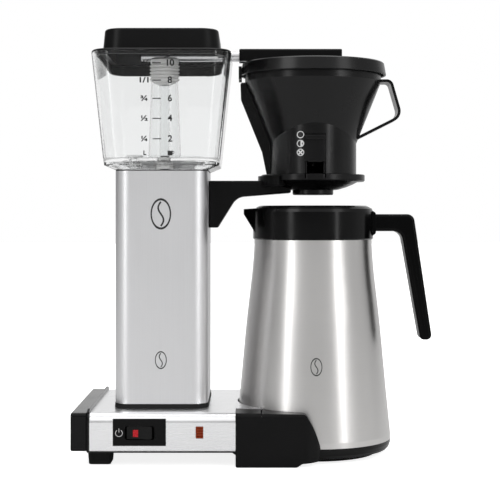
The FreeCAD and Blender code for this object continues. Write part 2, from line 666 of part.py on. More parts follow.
@part
def reservoir():
    """The clear tapered tank, with a floor, a spigot for the inlet hose and a notch for the outlet tube."""
    outer = soft_block([(*inset(TOWER, -0.4), RESERVOIR_Z0), (*inset(RES_LOW, 1.0), 265.4),
                        (*RES_LOW, FLOOR_TOP), (*RES_TOP, RIM_Z)])
    inside = inset(RES_TOP, WALL)
    tank = soft_block([(*inset(RES_LOW, WALL), FLOOR_TOP), (*inside, RIM_Z), (*inside, RIM_Z + 2)])
    hollow = (48.0, 54.0, 14.0)
    under = soft_block([(*inset(TOWER, 2.5), RESERVOIR_Z0 - 1), (*inset(TOWER, 2.5), RESERVOIR_Z0 + 1.3),
                        (*hollow, FLOOR_UNDER - 2), (*hollow, FLOOR_UNDER)])
    notch = box(TOWER_X + 50, TOWER_X + 70, -5.6, 5.6, OUTLET_Z - 5.4, RIM_Z + 5)
    ring = tube(38.0, 36.4, FLOOR_TOP, FLOOR_TOP + 2.4, TOWER_X)
    spigot = upright(6.0, 250.0, FLOOR_TOP, BOILER_X0)
    shell = fuse(cut(outer, tank, under, notch), ring, spigot)
    return cut(shell, upright(4.2, 240, 280, BOILER_X0), upright(8.0, 260, 280, TOWER_X))


@part
def inlet_strainer():
    """The perforated cap over the tank's outlet."""
    outside = [(0, 276.4), (7.2, 276.4), (7.9, 275.6), (7.9, FLOOR_TOP)]
    inside = [(6.6, FLOOR_TOP), (6.6, 274.8), (0, 274.8)]
    cap = turned(outside + inside, BOILER_X0)
    holes = [upright(0.9, 270, 280, *on_circle(4.4, angle, BOILER_X0)) for angle in range(0, 360, 60)]
    return cut(cap, *holes)


@part
def riser_grommet():
    """The seal where the riser passes through the tank's floor."""
    profile = [(5.1, 265.0), (7.9, 265.0), (7.9, FLOOR_TOP), (10.5, FLOOR_TOP), (10.5, 274.0), (5.1, 274.0)]
    return turned(profile, TOWER_X)


@part
def riser_tube():
    """The clear tube that the hot water climbs through."""
    return tube(5.0, 3.9, 230.0, 352.0, TOWER_X)


@part
def riser_cover():
    """The frosted tapered chimney around the riser."""
    foot = [(13.8, FLOOR_TOP), (16.4, FLOOR_TOP), (16.4, 273.4), (15.2, 273.4)]
    chimney = [(12.3, 345.0), (11.0, 345.0), (13.8, 273.4)]
    return turned(foot + chimney, TOWER_X)


@part
def riser_collar():
    """The ribbed silicone sleeve that joins the riser to the outlet tube."""
    profile = [(5.2, 341.5), (10.6, 344.0), (10.6, 345.2), (12.4, 345.2), (13.0, 346.0)]
    z = 346.0
    while z < 361.5:
        profile += [(13.9, z + 0.5), (13.9, z + 1.4), (12.7, z + 1.9), (12.7, z + 3.1)]
        z += 3.1
    profile += [(13.2, z + 0.3), (13.2, 365.0), (12.2, 365.8), (5.2, 365.8)]
    collar = turned(profile, TOWER_X)
    notch = rod(OUTLET_R + 0.3, V(TOWER_X - 30, 0, OUTLET_Z), V(TOWER_X + 30, 0, OUTLET_Z))
    return cut(collar, notch, Part.makeSphere(9.0, V(TOWER_X + 1.5, 0, 366.5)))


OUTLET_BEND = 6.4
STUB_X = TOWER_X - 22.0    # blind end of the outlet tube, past the riser


@part
def outlet_tube():
    """The steel tube from the riser, over the tank's rim, to the middle of the brew basket."""
    route = [V(TOWER_X, 0, 352.2), V(TOWER_X, 0, OUTLET_Z), V(BREW_X, 0, OUTLET_Z), V(BREW_X, 0, 358.8)]
    bore = [route[0] - Z_AXIS, route[1], route[2], route[3] - Z_AXIS]
    stub = rod(OUTLET_R - 0.3, V(STUB_X, 0, OUTLET_Z), V(TOWER_X + OUTLET_BEND + 2.0, 0, OUTLET_Z))
    stub = rounded(stub, 1.5, lambda e: e.BoundBox.XMax < STUB_X + 1e-3)
    pipe = fuse(bent_bar(route, OUTLET_R, OUTLET_BEND), stub)
    return cut(pipe, bent_bar(bore, OUTLET_R - 1.0, OUTLET_BEND))


@part
def outlet_cover():
    """The black channel over the outlet tube."""
    top_r, wall, low = 2.0, 1.7, COVER_Z0 - 1
    outline = [(-COVER_HY, COVER_Z0), (COVER_HY, COVER_Z0), (COVER_HY, COVER_Z1), (-COVER_HY, COVER_Z1)]
    outer = prism_x(outline, [0, 0, top_r, top_r], COVER_X0, COVER_X1)
    outer = rounded(outer, 1.2, lambda e: e.BoundBox.XLength < 1e-4 and flat_at(e, COVER_Z1))
    inner = box(COVER_X0 + wall, COVER_X1 - wall, -COVER_HY + wall, COVER_HY - wall, low, COVER_Z1 - wall)
    tube_r = OUTLET_R + 0.15
    entry = box(COVER_X0 - 1, COVER_X0 + 5, -tube_r, tube_r, low, OUTLET_Z)
    tube_way = rod(tube_r, V(COVER_X0 - 1, 0, OUTLET_Z), V(BREW_X + 1, 0, OUTLET_Z))
    ribs = []
    for x in (12.0, 34.0, 68.0):
        rib = box(x - 0.8, x + 0.8, -COVER_HY + wall, COVER_HY - wall, COVER_Z0 + 0.5, COVER_Z1 - wall)
        ribs.append(cut(rib, box(x - 2, x + 2, -tube_r, tube_r, low, OUTLET_Z + tube_r)))
    return cut(fuse(cut(outer, inner), *ribs), entry, tube_way)


@part
def spray_head():
    """The nozzle that hangs through the slot of the basket lid."""
    socket_r = OUTLET_R + 0.1
    outside = [(socket_r, 362.0), (6.3, 362.0), (6.3, 361.5), (SPRAY_R, 360.5), (SPRAY_R, 356.4),
               (6.6, 355.4), (0, 355.4)]
    inside = [(0, 357.2), (4.0, 357.2), (4.0, 358.6), (socket_r, 358.6)]
    head = turned(outside + inside, BREW_X)
    holes = [upright(0.8, 350, 358, BREW_X)]
    holes += [upright(0.8, 350, 358, *on_circle(2.8, angle, BREW_X)) for angle in range(0, 360, 45)]
    return cut(head, *holes)


@part
def reservoir_lid():
    """The black lid: a raised cap, a flange on the tank's rim and a skirt inside it."""
    flange_low, flange_top = RIM_Z + 0.3, 368.4
    edge = inset(RES_TOP, 0.4)
    flange = soft_block([(*edge, flange_low), (*edge, flange_top - 1.0), (*inset(RES_TOP, 1.6), flange_top)])
    cap = soft_block([(53.0, 59.0, 18.0, flange_top - 0.5), (51.2, 57.2, 17.0, HEIGHT)])
    cap = rounded(cap, 2.4, lambda e: flat_at(e, HEIGHT))
    wall = 2.0
    skirt_low, skirt_high = (57.0, 62.4, 16.6), (59.2, 64.6, 19.0)
    skirt = soft_block([(*skirt_low, SKIRT_REAR_Z), (*skirt_high, flange_low + 1)])
    inside_skirt = soft_block([(*inset(skirt_low, wall), SKIRT_REAR_Z - 1),
                               (*inset(skirt_high, wall), flange_low - 0.2)])
    below = [(-80, 300), (80, 300), (80, SKIRT_REAR_Z), (-80, SKIRT_FRONT_Z + 1.3)]
    slope = prism_x(below, [0, 0, 0, 0], TOWER_X - 80, TOWER_X + 80)
    inside_cap = soft_block([(50.6, 56.6, 15.6, flange_low - 2), (49.2, 55.2, 15.0, HEIGHT - wall)])
    tube_way = box(TOWER_X + 44, TOWER_X + 70, -6.2, 6.2, 340, OUTLET_Z + OUTLET_R + 0.9)
    return cut(fuse(flange, cap, skirt), slope, inside_cap, inside_skirt, tube_way)


# ---------------------------------------------------------------- basket bracket
BRACKET_HY = 17.0
FLANGE_R = 48.2
CRADLE_R0, CRADLE_R1 = FLANGE_R + GAP, FLANGE_R + 3.0
CRADLE_Z1 = 256.6
CRADLE_ANGLE = 50.0


def cradle_sector(radius, z0, z1):
    """A pie slice on the tower side of the brew axis."""
    slice_ = Part.makeCylinder(radius, z1 - z0, V(BREW_X, 0, z0), Z_AXIS, 2 * CRADLE_ANGLE)
    slice_.rotate(V(BREW_X, 0, 0), Z_AXIS, 180 - CRADLE_ANGLE)
    return slice_


@part
def basket_bracket():
    """The black arm on the tower's side, ending in a cradle that is open towards the carafe's handle."""
    side = TOWER_X + TOWER_HX
    outline = [(side, 208.9), (-35.6, 208.9), (-18.0, 237.2), (32.0, 241.2), (32.0, BASKET_SEAT - GAP),
               (8.0, 252.2), (side, 252.2)]
    arm = prism_y(outline, [1.0, 1.5, 14.0, 1.0, 0, 0, 1.0], -BRACKET_HY, BRACKET_HY)
    arm = rounded(arm, 2.0, lambda e: e.BoundBox.YLength < 1e-4 and side + 0.5 < e.BoundBox.XMin
                  and e.BoundBox.XMax < -5 and e.BoundBox.ZMin < 245)
    cradle = cradle_sector(CRADLE_R1, 247.2, CRADLE_Z1)
    cradle = cut(cradle, upright(CRADLE_R0 - 6.0, 240, 260, BREW_X))
    seat = upright(CRADLE_R0, BASKET_SEAT - 0.3, 300, BREW_X)
    body = basket_underside(GAP)
    screws = [rod(1.9, V(side - 1, y, z), V(side + 9, y, z)) for y, z in BRACKET_SCREWS]
    return cut(fuse(arm, cradle), seat, body, *screws)


@part
def bracket_screws():
    """Screws from inside the tower into the bracket."""
    side = TOWER_X + TOWER_HX
    screws = []
    for y, z in BRACKET_SCREWS:
        head = rod(3.6, V(side - 4.4, y, z), V(side - 1.8, y, z))
        shank = rod(1.8, V(side - 3, y, z), V(side + 8, y, z))
        drive = rod(1.5, V(side - 5, y, z), V(side - 3.2, y, z))
        screws.append(cut(fuse(head, shank), drive))
    return Part.makeCompound(screws)


# ---------------------------------------------------------------- brew basket
SKIRT_A, SKIRT_B = 40.3, 47.2       # half width and half depth of the oval lower body
SKIRT_WALL = 3.0
CONE_TOP_R, CONE_TOP_Z, CONE_LOW_Z = 63.3, 344.0, 286.8
CONE_SLOPE = (CONE_TOP_R - SKIRT_A) / (CONE_TOP_Z - CONE_LOW_Z)
CONE_FLOOR = 276.0
CONE_WALL = 2.4
BASKET_RIM = 352.0
FLANGE_TOP = 258.0
SLIDER_HX, SLIDER_LOW, SLIDER_TOP = 9.25, 269.2, 292.6
SLIDER_DEEP = 1.6
LUG_Z0, LUG_Z1 = 268.4, 271.4


def cone_radius(z):
    return CONE_TOP_R - (CONE_TOP_Z - z) * CONE_SLOPE


DISH_R = 42.0
DISH = [(19.0, 243.6), (24.0, 244.3), (31.0, 246.4), (37.6, 249.2), (DISH_R, BASKET_SEAT)]   # radius, height
SPOUT_R, SPOUT_LOW = 19.0, 239.3


def basket_underside(spread):
    """The outer shape of the basket base below its flange, larger by spread on every side."""
    line = [(radius + spread, z - spread) for radius, z in DISH]
    low, high = SPOUT_LOW - spread, 300
    return turned([(0, low), (SPOUT_R + spread, low), *line, (DISH_R + spread, high), (0, high)], BREW_X)


def slider_lane(spread):
    """The band on the basket's front that the slider fills, wider by spread on each side."""
    return box(BREW_X - SLIDER_HX - spread, BREW_X + SLIDER_HX + spread, -60, -30, 250, 300)


def filter_ribs(cavity_r):
    """Twelve low ribs up the inside of the cone, which keep the filter paper off the wall."""
    high, depth = 334.0, 1.8
    top_r = cone_radius(high) - CONE_WALL
    against_wall = turned([(0, CONE_FLOOR), (cavity_r + 0.3, CONE_FLOOR),
                           (top_r + 0.3, high), (0, high)], BREW_X)
    clear = turned([(0, CONE_FLOOR - 1), (cavity_r - depth, CONE_FLOOR - 1),
                    (top_r - depth + 0.2, high + 1), (0, high + 1)], BREW_X)
    zone = cut(against_wall, clear)
    ribs = []
    for k in range(12):
        rib = box(20, 70, -0.7, 0.7, CONE_FLOOR, high)
        rib.rotate(V(0, 0, 0), Z_AXIS, 30 * k + 15)
        rib.translate(V(BREW_X, 0, 0))
        ribs.append(rib.common(zone))
    return ribs


@part
def brew_basket():
    """The filter cone on its oval skirt, with the guide fin towards the tower."""
    floor_r = cone_radius(CONE_FLOOR - 2)
    cone = turned([(0, CONE_FLOOR - 2), (floor_r, CONE_FLOOR - 2), (CONE_TOP_R, CONE_TOP_Z),
                   (CONE_TOP_R, BASKET_RIM), (0, BASKET_RIM)], BREW_X)
    cavity_r, mouth_r = cone_radius(CONE_FLOOR) - CONE_WALL, CONE_TOP_R - CONE_WALL
    cavity = turned([(0, CONE_FLOOR), (cavity_r, CONE_FLOOR), (mouth_r, CONE_TOP_Z),
                     (mouth_r, BASKET_RIM + 1), (0, BASKET_RIM + 1)], BREW_X)
    arch_z = CONE_LOW_Z + (SKIRT_B - SKIRT_A) / CONE_SLOPE + 2
    inside = oval(SKIRT_A - SKIRT_WALL, SKIRT_B - SKIRT_WALL, FLANGE_TOP - 1, arch_z - 6)
    skirt = cut(oval(SKIRT_A, SKIRT_B, FLANGE_TOP, arch_z), inside)
    fin_side = [(-14.7, 344.0), (-14.2, 328.0), (5.5, 279.1), (9.8, FLANGE_TOP), (14.4, FLANGE_TOP),
                (14.4, 284.0), (-8.3, 344.0)]
    fin = prism_y(fin_side, [2.0, 6.0, 8.0, 0, 0, 0, 0], -2.6, 2.6)
    slider_seat = oval(SKIRT_A - SLIDER_DEEP, SKIRT_B - SLIDER_DEEP, 250, 300)
    recess = cut(oval(SKIRT_A + 2, SKIRT_B + 2, FLANGE_TOP - 1, 294.2), slider_seat)
    recess = recess.common(slider_lane(0.35))
    window = box(BREW_X - 7.6, BREW_X + 7.6, -60, -30, FLANGE_TOP - 1, CONE_FLOOR)
    flow = upright(5.0, 260, 300, BREW_X)
    solid = cut(fuse(cone, skirt, fin), cavity, recess, window, flow)
    return fuse(solid, *filter_ribs(cavity_r))


@part
def basket_base():
    """The flange, dish and drip spout under the basket, with the valve's seat."""
    spout = [(5.0, SPOUT_LOW), (SPOUT_R - 0.8, SPOUT_LOW), (SPOUT_R, SPOUT_LOW + 0.8)]
    outside = [*spout, *DISH, (FLANGE_R - 1.0, BASKET_SEAT), (FLANGE_R, BASKET_SEAT + 1.0)]
    rim = [(FLANGE_R, FLANGE_TOP - 0.6), (FLANGE_R - 0.6, FLANGE_TOP), (36.4, FLANGE_TOP), (36.4, 254.0)]
    inside = [(32.0, 251.0), (27.0, 248.4), (21.0, 246.6), (8.0, 246.6), (8.0, 251.5), (5.0, 251.5)]
    body = turned(outside + rim + inside, BREW_X)
    pocket = slider_lane(0.35).common(box(0, 120, -SKIRT_B - 0.25, -32, 253.6, 260))
    return cut(body, pocket)


@part
def drip_slider():
    """The three-position slide on the basket's front, with its ridge and the lug through the window."""
    behind = SLIDER_DEEP - 0.25
    plate = oval(SKIRT_A - 0.05, SKIRT_B - 0.05, SLIDER_LOW, SLIDER_TOP)
    plate = cut(plate, oval(SKIRT_A - behind, SKIRT_B - behind, 250, 300))
    ridge = cut(oval(SKIRT_A + 2.2, SKIRT_B + 2.2, 288.8, SLIDER_TOP),
                oval(SKIRT_A - 1.0, SKIRT_B - 1.0, 250, 300))
    lane = slider_lane(0.0)
    face = rounded(ridge.common(lane), 0.9, lambda e: e.BoundBox.YMin < -SKIRT_B - 1 and e.Length > 10)
    lug = box(BREW_X - 6.4, BREW_X + 6.4, -SKIRT_B + 0.8, -36.0, LUG_Z0, LUG_Z1)
    return fuse(plate.common(lane), face, lug)


@part
def drip_plug():
    """The stopper on its arm, carried by the slider's lug."""
    arm = box(BREW_X - 4, BREW_X + 4, -36.0, 0, LUG_Z0, LUG_Z1)
    plug = turned([(0, 272.0), (7.4, 272.0), (7.4, 266.0), (4.6, 265.6), (3.6, 262.4), (0, 262.4)], BREW_X)
    return fuse(arm, plug)


HANDLE_LINE = [(112.0, 344.8), (124.6, 344.8), (134.0, 312.2), (94.0, 292.0)]


@part
def basket_handle():
    """The bent strip handle on the side of the basket."""
    loop = strip(HANDLE_LINE, [5.0, 9.0], 2.6, -12.5, 12.5)
    bulk = turned([(0, 250), (SKIRT_A + 0.01, 250), (SKIRT_A + 0.01, CONE_LOW_Z),
                   (CONE_TOP_R + 0.01, CONE_TOP_Z), (CONE_TOP_R + 0.01, BASKET_RIM),
                   (0, BASKET_RIM)], BREW_X)
    return cut(loop, bulk)


@part
def basket_lid():
    """The round lid, slotted from its middle to the tower side so that it clears the spray head."""
    top, low = 361.8, 350.2
    outside = [(0, top), (65.0, top), (66.2, top - 1.0), (68.0, low + 0.6), (67.8, low), (65.9, low)]
    groove = [(64.4, top - 3.0), (60.9, top - 3.0), (60.5, 354.0), (58.9, 354.0), (58.9, top - 2.2),
              (0, top - 2.2)]
    lid = turned(outside + groove, BREW_X)
    tab = box(BREW_X - 69.2, BREW_X - 66.4, -15.0, 15.0, 345.8, top - 4)
    tab = cut(tab, upright(66.6, 300, 400, BREW_X))
    slot_hy = SPRAY_R + 1.3
    slot = fuse(box(BREW_X - 80, BREW_X, -slot_hy, slot_hy, 340, 380), upright(slot_hy, 340, 380, BREW_X))
    return cut(fuse(lid, tab), slot)


# ---------------------------------------------------------------- carafe
BODY_LINE = [(54.5, 198.0), (55.9, 175.0), (60.9, 130.0), (65.6, 82.0), (70.4, 32.0)]
BODY_FOOT_R, BODY_FOOT_Z = 71.7, 14.2


def carafe_body(inset_by, z_low, mouth=0.0):
    """The turned outside of the carafe, smaller by inset_by, its mouth longer by mouth."""
    points = [V(r - inset_by, 0, z) for r, z in BODY_LINE]
    curve = Part.BSplineCurve()
    curve.interpolate(points)
    top = points[0]
    high = V(top.x, 0, top.z + mouth)
    foot = V(BODY_FOOT_R - inset_by, 0, z_low + 5.0)
    corners = [points[-1], foot, V(foot.x, 0, z_low), V(0, 0, z_low), V(0, 0, high.z), high]
    if mouth:
        corners.append(top)
    edges = [curve.toShape()] + [Part.makeLine(a, b) for a, b in zip(corners, corners[1:])]
    solid = Part.Face(Part.Wire(edges)).revolve(V(0, 0, 0), Z_AXIS, 360)
    solid.translate(V(BREW_X, 0, 0))
    return solid


@part
def carafe_shell():
    """The brushed steel outer wall."""
    wall = 1.0
    return cut(carafe_body(0.0, BODY_FOOT_Z), carafe_body(wall, BODY_FOOT_Z + wall, 2.0))


@part
def carafe_liner():
    """The inner flask, a second wall inside the first with a vacuum gap between them."""
    gap, wall, floor = 5.5, 1.0, 20.0
    flask = cut(carafe_body(gap, floor), carafe_body(gap + wall, floor + wall, 2.0))
    return fuse(flask, tube(49.0, 48.0, COLLAR_Z0 - 1.0, COLLAR_Z0 + 2.0, BREW_X))


@part
def carafe_base():
    """The black cup under the steel body."""
    r = BODY_FOOT_R
    cup = turned([(0, CARAFE_Z0), (r - 7, CARAFE_Z0), (r - 3.4, 5.2), (r - 1.2, 7.6), (r, 11.0),
                  (r, BODY_FOOT_Z), (0, BODY_FOOT_Z)], BREW_X)
    well = turned([(0, 6.6), (r - 9, 6.6), (r - 4, 9.4), (r - 4, BODY_FOOT_Z + 1),
                   (0, BODY_FOOT_Z + 1)], BREW_X)
    return cut(cup, well)


COLLAR_R, COLLAR_TOP = 55.9, 227.6
SCREW_Z = 213.5          # the screw between the collar and the handle


def spout(spread, z_low):
    """The beak on the tower side of the collar, larger by spread."""
    tip, s = -12.6, spread
    side_line = [(tip - s, 226.0 + s), (tip - s, 223.0 - s), (-4.0 - s, 209.0 - s), (0.5, 201.6 - s),
                 (12.0, z_low), (12.0, COLLAR_TOP)]
    plan_line = [(tip - s, 0), (4.0, -21.0 - s), (16.0, -26.0 - s), (16.0, 26.0 + s), (4.0, 21.0 + s)]
    side = prism_y(side_line, [0.4, 1.6, 24.0, 5.0, 0, 0], -40, 40)
    return side.common(prism_z(plan_line, [3.5 + s, 14.0, 0, 0, 14.0], 190, 240))


@part
def carafe_collar():
    """The black ring at the carafe's mouth with its pouring beak."""
    neck = [(48.2, 200.2), (50.4, 200.2), (50.4, 191.0), (53.2, 191.0), (53.2, COLLAR_Z0), (54.9, COLLAR_Z0)]
    outside = [(COLLAR_R, 199.0), (COLLAR_R, 223.5), (COLLAR_R - 0.9, 226.4),
               (COLLAR_R - 2.8, COLLAR_TOP), (48.2, COLLAR_TOP)]
    ring = turned(neck + outside, BREW_X)
    beak = cut(spout(0.0, 201.6), upright(50.0, 150, 260, BREW_X))
    channel = spout(-2.0, 207.0)
    channel.translate(V(0, 0, 3.0))
    inside = fuse(upright(48.2, 190, 260, BREW_X), upright(53.4, 224.2, 260, BREW_X))
    shank = rod(2.1, V(BREW_X + 45, 0, SCREW_Z), V(BREW_X + 60, 0, SCREW_Z))
    head = rod(4.2, V(BREW_X + 45, 0, SCREW_Z), V(BREW_X + 51.2, 0, SCREW_Z))
    return cut(fuse(ring, beak), channel, inside, shank, head)


@part
def carafe_handle():
    """The open black handle, hung from the collar."""
    grip_side = [(106.0, 205.6), (134.3, 205.6), (152.0, 104.9), (163.23, 104.9), (146.0, 221.4),
                 (106.0, 221.4)]
    grip = prism_y(grip_side, [0, 9.0, 4.6, 4.6, 7.0, 0], -11.5, 11.5)
    grip = rounded(grip, 3.0,
                   lambda e: e.BoundBox.YLength < 1e-4 and e.BoundBox.XMax > 107 and e.Length > 0.5)
    groove_side = [(141.4, 190.0), (144.7, 190.0), (155.9, 118.0), (153.4, 118.0)]
    root_side = [(106.0, 200.4), (110.6, 203.6), (110.6, 222.6), (106.0, 225.4)]
    root = prism_y(root_side, [0, 2.4, 2.4, 0], -13.6, 13.6)
    grooves = []
    for side in (-1, 1):
        grooves.append(prism_y(groove_side, [1.2] * 4, side * 11.5 - 0.8, side * 11.5 + 0.8))
    bore = rod(1.9, V(100, 0, SCREW_Z), V(122, 0, SCREW_Z))
    return cut(fuse(grip, root), upright(COLLAR_R + 0.05, 150, 260, BREW_X), bore, *grooves)


@part
def handle_screw():
    """The screw from inside the collar into the handle."""
    head = rod(4.0, V(BREW_X + 48.6, 0, SCREW_Z), V(BREW_X + 51.1, 0, SCREW_Z))
    shank = rod(1.8, V(BREW_X + 50, 0, SCREW_Z), V(120, 0, SCREW_Z))
    drive = rod(1.6, V(BREW_X + 48, 0, SCREW_Z), V(BREW_X + 50, 0, SCREW_Z))
    return cut(fuse(head, shank), drive)


TAB_TOP = 228.4          # top of the two finger tabs in the lid's dish


@part
def carafe_lid():
    """The brew-through lid: a dished top on a plug that turns in the collar."""
    top = [(8.0, 220.4), (44.0, 226.6), (46.5, 229.2), (49.6, 229.2), (52.6, 227.8), (53.0, 226.6),
           (53.0, 224.6)]
    plug = [(47.2, 224.6), (47.2, 206.0), (45.0, 206.0), (45.0, 223.0), (10.0, 217.4), (10.0, 206.0),
            (8.0, 206.0)]
    lid = turned(top + plug, BREW_X)
    mouth = [(-13.0, 200.0), (13.0, 200.0), (13.0, 221.5), (-13.0, 221.5)]
    pour = prism_x(mouth, [0, 0, 3.0, 3.0], BREW_X - 52, BREW_X - 40)
    tabs = []
    for side in (-1, 1):
        near, far = sorted((side * 18.0, side * 38.0))
        tabs.append(box(BREW_X - 2.2, BREW_X + 2.2, near, far, 219.0, TAB_TOP))
    keep_above = turned([(8.0, 219.4), (44.0, 225.6), (44.0, 240.0), (8.0, 240.0)], BREW_X)
    tabs = [rounded(tab, 1.2, lambda e: flat_at(e, TAB_TOP)).common(keep_above) for tab in tabs]
    seal_groove = tube(48.5, 46.2, 209.0, 211.6, BREW_X)
    return cut(fuse(lid, *tabs), pour, seal_groove)


@part
def carafe_lid_seal():
    """The silicone ring in the plug's groove, open where the lid pours."""
    ring = tube(47.9, 46.3, 209.1, 211.5, BREW_X)
    return cut(ring, box(BREW_X - 60, BREW_X - 30, -14.0, 14.0, 200, 220))


def main():
    os.makedirs("parts", exist_ok=True)
    for name, build in PARTS.items():
        shape = build()
        solids = shape.Solids
        bad = not shape.isValid() or not solids or any(s.Volume <= 0 for s in solids)
        print(f"{name:20s} solids {len(solids)} volume {shape.Volume:10.0f}" + ("  NOT VALID" if bad else ""))
        kept = solids[0] if len(solids) == 1 else Part.makeCompound(solids)
        kept.exportStep(os.path.join("parts", name + ".step"))


main()
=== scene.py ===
"""The looks of the drip coffee maker: materials, printed marks, light, floor and camera."""

import json
import math

import bmesh
import bpy
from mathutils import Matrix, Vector
from mathutils.bvhtree import BVHTree


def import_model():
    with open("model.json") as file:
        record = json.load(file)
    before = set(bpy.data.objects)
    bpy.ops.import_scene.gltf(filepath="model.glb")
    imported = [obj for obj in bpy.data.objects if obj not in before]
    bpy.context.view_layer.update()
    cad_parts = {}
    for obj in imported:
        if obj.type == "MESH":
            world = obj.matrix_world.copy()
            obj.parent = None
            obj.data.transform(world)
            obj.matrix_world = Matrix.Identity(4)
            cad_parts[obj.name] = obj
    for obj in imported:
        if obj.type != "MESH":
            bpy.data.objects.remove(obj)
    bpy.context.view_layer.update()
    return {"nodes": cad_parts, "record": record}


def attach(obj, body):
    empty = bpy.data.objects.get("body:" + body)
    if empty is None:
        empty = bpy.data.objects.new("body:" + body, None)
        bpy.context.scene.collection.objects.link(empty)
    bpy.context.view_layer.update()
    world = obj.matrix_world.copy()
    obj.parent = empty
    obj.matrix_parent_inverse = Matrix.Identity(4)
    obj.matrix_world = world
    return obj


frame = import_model()
NODES = frame["nodes"]
MM = 0.001
TOWER_X, BREW_X = -85.4, 53.0        # centre lines of the tower and of the carafe, in mm


# ---------------------------------------------------------------- shader nodes
def add_node(tree, kind, inputs=None, **settings):
    """A new shader node. inputs holds values, or sockets to link, by the input's name or number."""
    made = tree.nodes.new("ShaderNode" + kind)
    for key, value in settings.items():
        setattr(made, key, value)
    for key, value in (inputs or {}).items():
        if isinstance(value, bpy.types.NodeSocket):
            tree.links.new(value, made.inputs[key])
        else:
            made.inputs[key].default_value = value
    return made


def maths(tree, operation, *values):
    return add_node(tree, "Math", dict(enumerate(values)), operation=operation).outputs["Value"]


def either_ray(tree, first, second):
    """1 for the two kinds of ray named, such as "Is Shadow Ray", and 0 for the others."""
    rays = add_node(tree, "LightPath").outputs
    return maths(tree, "MAXIMUM", rays[first], rays[second])


EDGE_RADIUS = 0.35 * MM              # how far the shading of every sharp edge is softened
WEAR_AND_HIGHLIGHT_RADIUS = 0.6 * MM               # how far the paler edge of a plastic reaches: wear together with a painted edge highlight
BEVEL_SAMPLES = 4
NOISE_LOW, NOISE_HIGH = 0.3, 0.7     # most of a noise lies between these
TURNED, FLAT = 0.88, 0.995           # cosines between the rounded and the true normal


class Look:
    """One procedural material: a Principled shader and the nodes that feed it, in object coordinates."""

    def __init__(self, name, **sockets):
        self.material = bpy.data.materials.new(name)
        self.material.use_nodes = True
        self.tree = self.material.node_tree
        self.tree.nodes.clear()
        self.shader = self.node("BsdfPrincipled")
        self.node("OutputMaterial", {"Surface": self.shader.outputs["BSDF"]})
        self.coordinates = self.node("TexCoord").outputs["Object"]
        self.normal = self.rounded(EDGE_RADIUS)
        for socket, value in sockets.items():
            self.shader.inputs[socket.replace("_", " ")].default_value = value

    def node(self, kind, inputs=None, **settings):
        return add_node(self.tree, kind, inputs, **settings)

    def link(self, output, socket):
        self.tree.links.new(output, self.shader.inputs[socket])

    def rounded(self, radius):
        """The normal as it would be if every edge had that radius."""
        return self.node("Bevel", {"Radius": radius}, samples=BEVEL_SAMPLES).outputs["Normal"]

    def noise(self, scale, detail=3.0, stretch=None, roughness=0.55):
        """Noise of that scale, in features per metre, first stretched along the axes if stretch is given."""
        vector = self.coordinates
        if stretch:
            vector = self.node("Mapping", {"Vector": vector, "Scale": stretch}).outputs["Vector"]
        inputs = {"Vector": vector, "Scale": scale, "Detail": detail, "Roughness": roughness}
        return self.node("TexNoise", inputs).outputs["Fac"]

    def span(self, source, low, high, from_low=NOISE_LOW, from_high=NOISE_HIGH):
        """source, which lies between from_low and from_high, brought to low..high."""
        inputs = {"Value": source, "From Min": from_low, "From Max": from_high, "To Min": low, "To Max": high}
        return self.node("MapRange", inputs).outputs["Result"]

    def blend(self, factor, first, second):
        """A colour that goes from first to second, each a colour or a socket, as factor goes from 0 to 1."""
        made = self.node("Mix", data_type="RGBA")
        self.tree.links.new(factor, made.inputs["Factor"])
        for key, colour in (("A", first), ("B", second)):
            socket = next(s for s in made.inputs if s.name == key and s.type == "RGBA")
            if isinstance(colour, bpy.types.NodeSocket):
                self.tree.links.new(colour, socket)
            else:
                socket.default_value = (*colour, 1.0)
        return next(s for s in made.outputs if s.type == "RGBA")

    def mottle(self, source, colour, darker):
        """Drives the base colour from colour times darker, where source is low, up to colour."""
        low = tuple(channel * darker for channel in colour)
        self.link(self.blend(self.span(source, 0.0, 1.0), low, colour), "Base Color")

    def bump(self, height, depth):
        """Adds a relief of that depth, in metres, to what is already there."""
        inputs = {"Height": height, "Distance": depth, "Strength": 1.0, "Normal": self.normal}
        self.normal = self.node("Bump", inputs).outputs["Normal"]
        self.link(self.normal, "Normal")

    def edges(self, radius):
        """A mask that is 1 along edges, from how sharply the surface turns: where paler wear and a painted
        edge highlight go.
        """
        true_normal = self.node("NewGeometry").outputs["Normal"]
        inputs = {0: self.rounded(radius), 1: true_normal}
        cosine = self.node("VectorMath", inputs, operation="DOT_PRODUCT").outputs["Value"]
        return self.span(cosine, 1.0, 0.0, TURNED, FLAT)


# ---------------------------------------------------------------- materials
def grey(level):
    return (level, level, level)


def metal(name, colour, rough, stretch, contrast=0.04, anisotropic=0.0, rotation=0.0, relief=4e-7):
    """Brushed metal. Its scratches run along the axis that has the small number in stretch."""
    look = Look(name, Metallic=1.0, Anisotropic=anisotropic, Anisotropic_Rotation=rotation)
    scratches = look.noise(scale=1.0, detail=4.0, stretch=stretch, roughness=0.7)
    patches = look.noise(scale=9.0, detail=2.0)
    look.mottle(scratches, colour, 1.0 - contrast)
    scratched = look.span(scratches, rough - 0.02, rough + 0.03)
    uneven = look.span(patches, -0.015, 0.015)
    look.link(maths(look.tree, "ADD", scratched, uneven), "Roughness")
    look.bump(scratches, relief)
    return look.material


